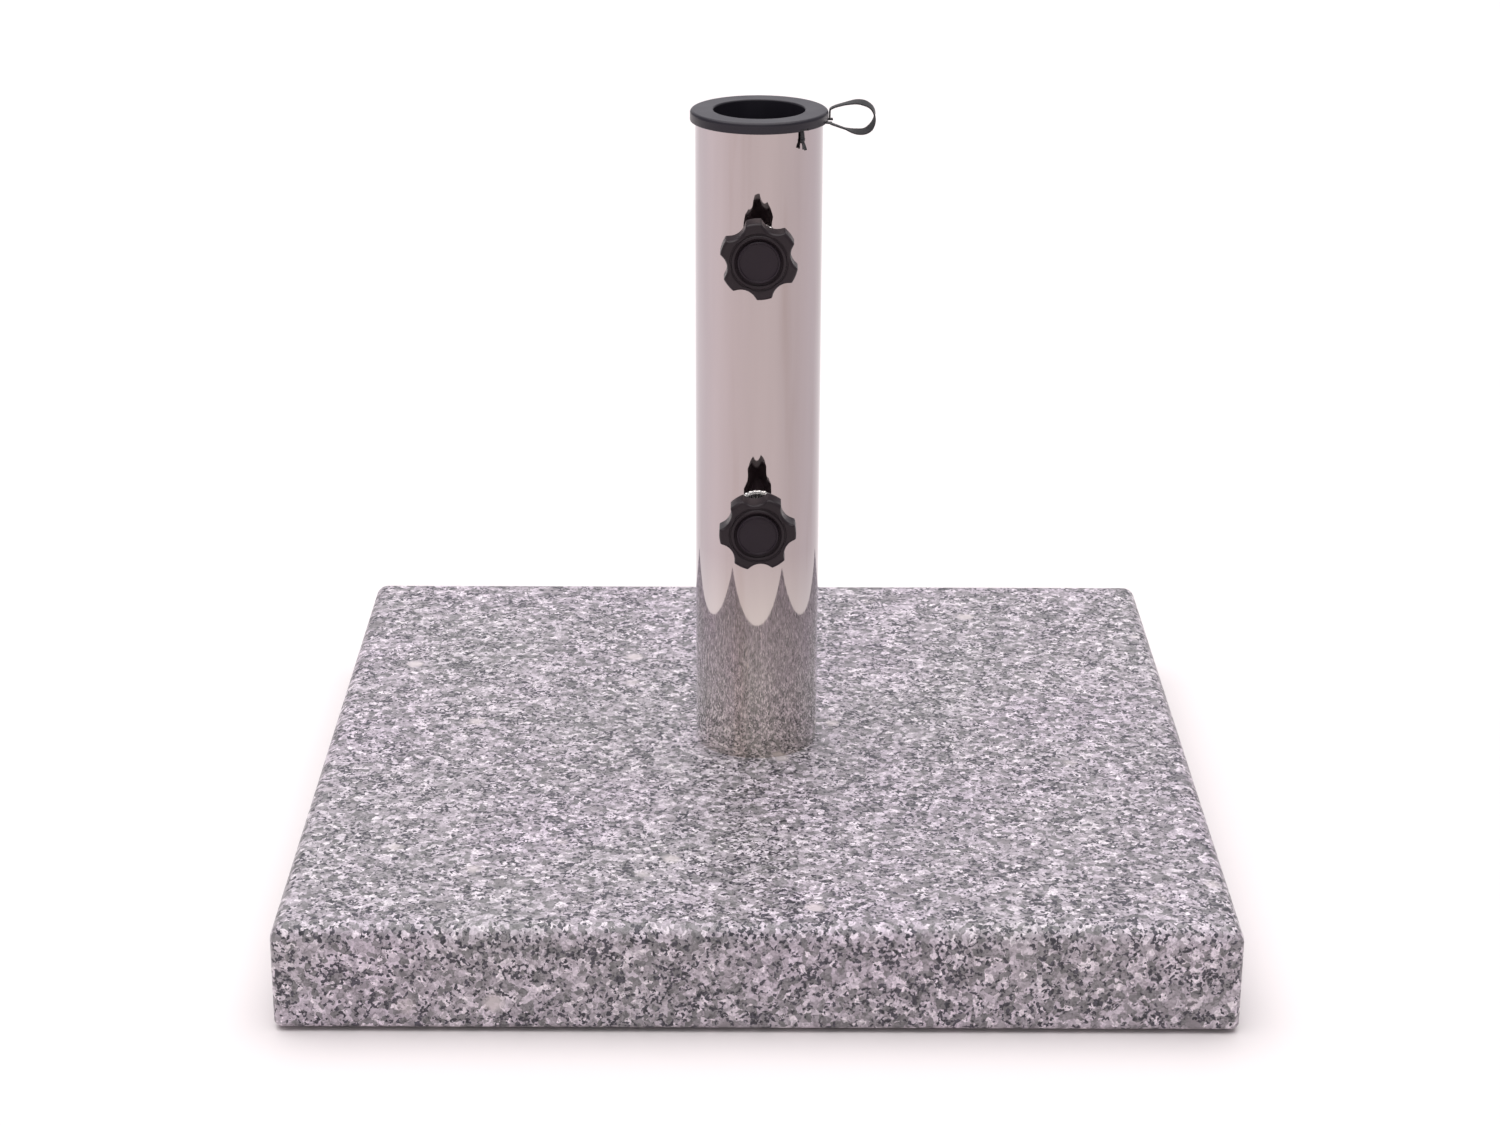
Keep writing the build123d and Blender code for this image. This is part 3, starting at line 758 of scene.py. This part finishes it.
def screw_surface(tip, seat, diameter, pitch, head_width, head_height, blind_hole, turn=0.0):
    """Hexagon-headed screw about its axis, in millimetres: a blind hole or a flat end at the tip, a thread
    r = R - d f, where f is the triangle wave of w / pitch - a / 2 pi, a plain neck, and a chamfered head."""
    columns = 72
    angles = np.linspace(0, 2 * math.pi, columns, endpoint=False)
    round_row = np.ones(columns)
    big = diameter / 2 - 0.02
    depth = 0.58 * pitch
    rows, levels = [], []
    hole_radius, hole_depth = blind_hole
    bottom = tip + hole_depth
    for r, w in ((0.0, bottom), (hole_radius, bottom), (hole_radius, tip), (big - depth, tip)):
        rows.append(r * round_row)
        levels.append(w)
    neck = seat - 1.5 * pitch
    thread = np.arange(tip + 0.05, neck, pitch / 12)
    phase = (thread[:, None] / pitch - angles[None, :] / (2 * math.pi)) % 1.0
    lead = np.clip((thread[:, None] - tip) / (0.8 * pitch), 0, 1)
    wave = 2 * abs(phase - 0.5)
    rows += list(big - depth * np.clip(1.15 * wave, 0.08, 1.0) * lead - depth * 0.9 * (1 - lead))
    levels += thread.tolist()
    outline = hexagon_outline(angles, head_width, turn)
    crown = np.minimum(outline, head_width / 2 + 0.15)
    top = seat + head_height
    for row, w in (
        ((big - 0.1) * round_row, neck + 0.3),
        ((big - 0.1) * round_row, seat),
        (crown - 0.1, seat),
        (outline, seat + 0.35),
        (outline, top - 0.7),
        (crown - 0.2, top),
        (0.0 * round_row, top),
    ):
        rows.append(row)
        levels.append(w)
    return lathe(np.array(rows) * MM, np.array(levels) * MM)


def make_knob_screw(name, face, turn, height):
    """The clamp screw, its head in the knob's pocket and its tip towards the pole."""
    seat = face - POCKET_DEPTH
    surface = screw_surface(seat - CLAMP_SCREW_LENGTH, seat, **CLAMP_SCREW, turn=turn)
    quads = grid_quads(*surface.shape[:2], True)
    points = towards_front(surface, height)
    shank = f"{name}_clamp_screw"
    screw = piece(shank, points, quads, PLATED, f"{name}_knob", sharp=40.0)
    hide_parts(f"{name}_knob_screw")


def make_slab_bolt():
    """The slab's bolt, its head downwards: (u, v, w) to (u, -v, -w)."""
    low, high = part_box("slab_bolt")
    surface = screw_surface(-high.z / MM, -low.z / MM - SLAB_BOLT["head_height"], **SLAB_BOLT)
    quads = grid_quads(*surface.shape[:2], True)
    u, v, w = np.moveaxis(surface, -1, 0)
    points = np.stack([u, -v, -w], -1)
    bolt = piece("slab_bolt_threaded", points, quads, ZINC, "base", sharp=40.0)
    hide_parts("slab_bolt")


def make_bush_weld(name, height):
    """Weld bead where the bush's flange meets the tube: a ring of small ripples, its middle line at
    x = R cos a, v = R sin a and lying on the tube, y = -sqrt(T^2 - x^2), with a section that swells by a
    cosine of the angle."""
    low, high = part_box(f"{name}_bush")
    radius = (high.x - low.x) / 2
    columns, section = 360, 14
    a = np.linspace(0, 2 * math.pi, columns, endpoint=False)[:, None]
    b = np.linspace(0, 2 * math.pi, section, endpoint=False)[None, :]
    ripple = 1 + 0.16 * np.cos(26 * a + 0.9 * np.sin(3 * a)) + 0.10 * np.sin(7 * a)
    thick = 0.95 * MM * ripple
    reach = radius + 0.25 * MM + thick * np.cos(b)
    x, v = reach * np.cos(a), reach * np.sin(a)
    y = -np.sqrt(tube_radius**2 - x**2) - thick * np.sin(b) * 0.9
    points = np.stack([x, y, height + v], -1)
    points = np.concatenate([points, points[:1]])
    quads = grid_quads(columns + 1, section, True)
    piece(f"{name}_bush_weld", points, quads, WELD, "base", sharp=70.0)


def make_knobs():
    """Both clamp knobs with their screws, and the weld beads of their bushes."""
    for name, turn in KNOB_TURNS.items():
        low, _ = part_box(f"{name}_knob_cap")
        face = -low.y / MM
        height = screw_heights[name]
        make_knob_body(name, face, turn, height)
        make_knob_cap(name, face, height)
        make_knob_screw(name, face, turn, height)
        make_bush_weld(name, height)


# ---------------------------------------------------------------- floor, light and camera


def make_floor():
    """A plain pale sheet, matt and slightly pink, with a faint unevenness of tone."""
    mesh = bpy.data.meshes.new("floor")
    reach = 80.0
    corners = [(-reach, -reach, 0), (reach, -reach, 0), (reach, reach, 0), (-reach, reach, 0)]
    mesh.from_pydata(corners, [], [(0, 1, 2, 3)])
    floor = bpy.data.objects.new("floor", mesh)
    bpy.context.scene.collection.objects.link(floor)
    material, tree, shader = new_material("pale_floor", Roughness=0.9, Specular_IOR_Level=0.2)
    place = node(tree, "ShaderNodeTexCoord").outputs["Object"]
    uneven = node(tree, "ShaderNodeTexNoise", {"Vector": place}, Scale=0.6, Detail=2.0)
    tone = ramp(tree, uneven.outputs["Fac"], [(0.3, (0.820, 0.770, 0.770)), (0.7, (0.835, 0.785, 0.785))])
    tree.links.new(tone.outputs["Color"], shader.inputs["Base Color"])
    mesh.materials.append(material)


def make_light():
    """One broad soft source overhead, two soft low ones in front and behind, and a dim even fill all
    round."""
    world = bpy.data.worlds.new("studio")
    bpy.context.scene.world = world
    world.use_nodes = True
    tree = world.node_tree
    background = tree.nodes["Background"]
    place = node(tree, "ShaderNodeTexCoord").outputs["Generated"]
    colour = (0.34, 0.335, 0.35)
    front = ((0.0, -0.94, 0.34), (0.85, 0.83, 0.83))
    behind = ((0.0, 0.93, 0.37), (0.82, 0.80, 0.84))
    for direction, glow in (front, behind):
        towards = node(tree, "ShaderNodeVectorMath", {0: place}, operation="DOT_PRODUCT")
        towards.inputs[1].default_value = direction
        share = ramp(tree, towards.outputs["Value"], [(0.86, grey(0.0)), (0.96, grey(1.0))])
        colour = mix_colour(tree, share.outputs["Color"], colour, glow)
    tree.links.new(colour, background.inputs["Color"])
    background.inputs["Strength"].default_value = 1.0
    sun = bpy.data.lights.new("overhead", "SUN")
    sun.energy = 3.0
    sun.angle = math.radians(75)
    lamp = bpy.data.objects.new("overhead", sun)
    lamp.rotation_euler = (math.radians(-4), math.radians(-3), 0)
    bpy.context.scene.collection.objects.link(lamp)


def make_camera():
    """A long lens a little above the object, looking down at it."""
    pitch, yaw, roll = math.radians(20.33), math.radians(0.078), math.radians(0.223)
    forward = Vector((math.sin(yaw) * math.cos(pitch), math.cos(yaw) * math.cos(pitch), -math.sin(pitch)))
    level = Vector((math.cos(yaw), -math.sin(yaw), 0))
    upright = level.cross(forward)
    right = level * math.cos(roll) + upright * math.sin(roll)
    up = upright * math.cos(roll) - level * math.sin(roll)
    data = bpy.data.cameras.new("view")
    data.lens = 74.55
    data.sensor_width = 36.0
    camera = bpy.data.objects.new("view", data)
    place = Vector((-0.0057, -1.5049, slab_top + 0.65395))
    camera.matrix_world = Matrix.Translation(place) @ Matrix((right, up, -forward)).transposed().to_4x4()
    bpy.context.scene.collection.objects.link(camera)
    bpy.context.scene.camera = camera


make_camera()
make_loop(make_band(), make_knot())
make_floor()
make_light()
finish_cad_nodes()
make_tube()
make_knobs()
make_slab_bolt()
bpy.context.scene.view_settings.view_transform = "Standard"
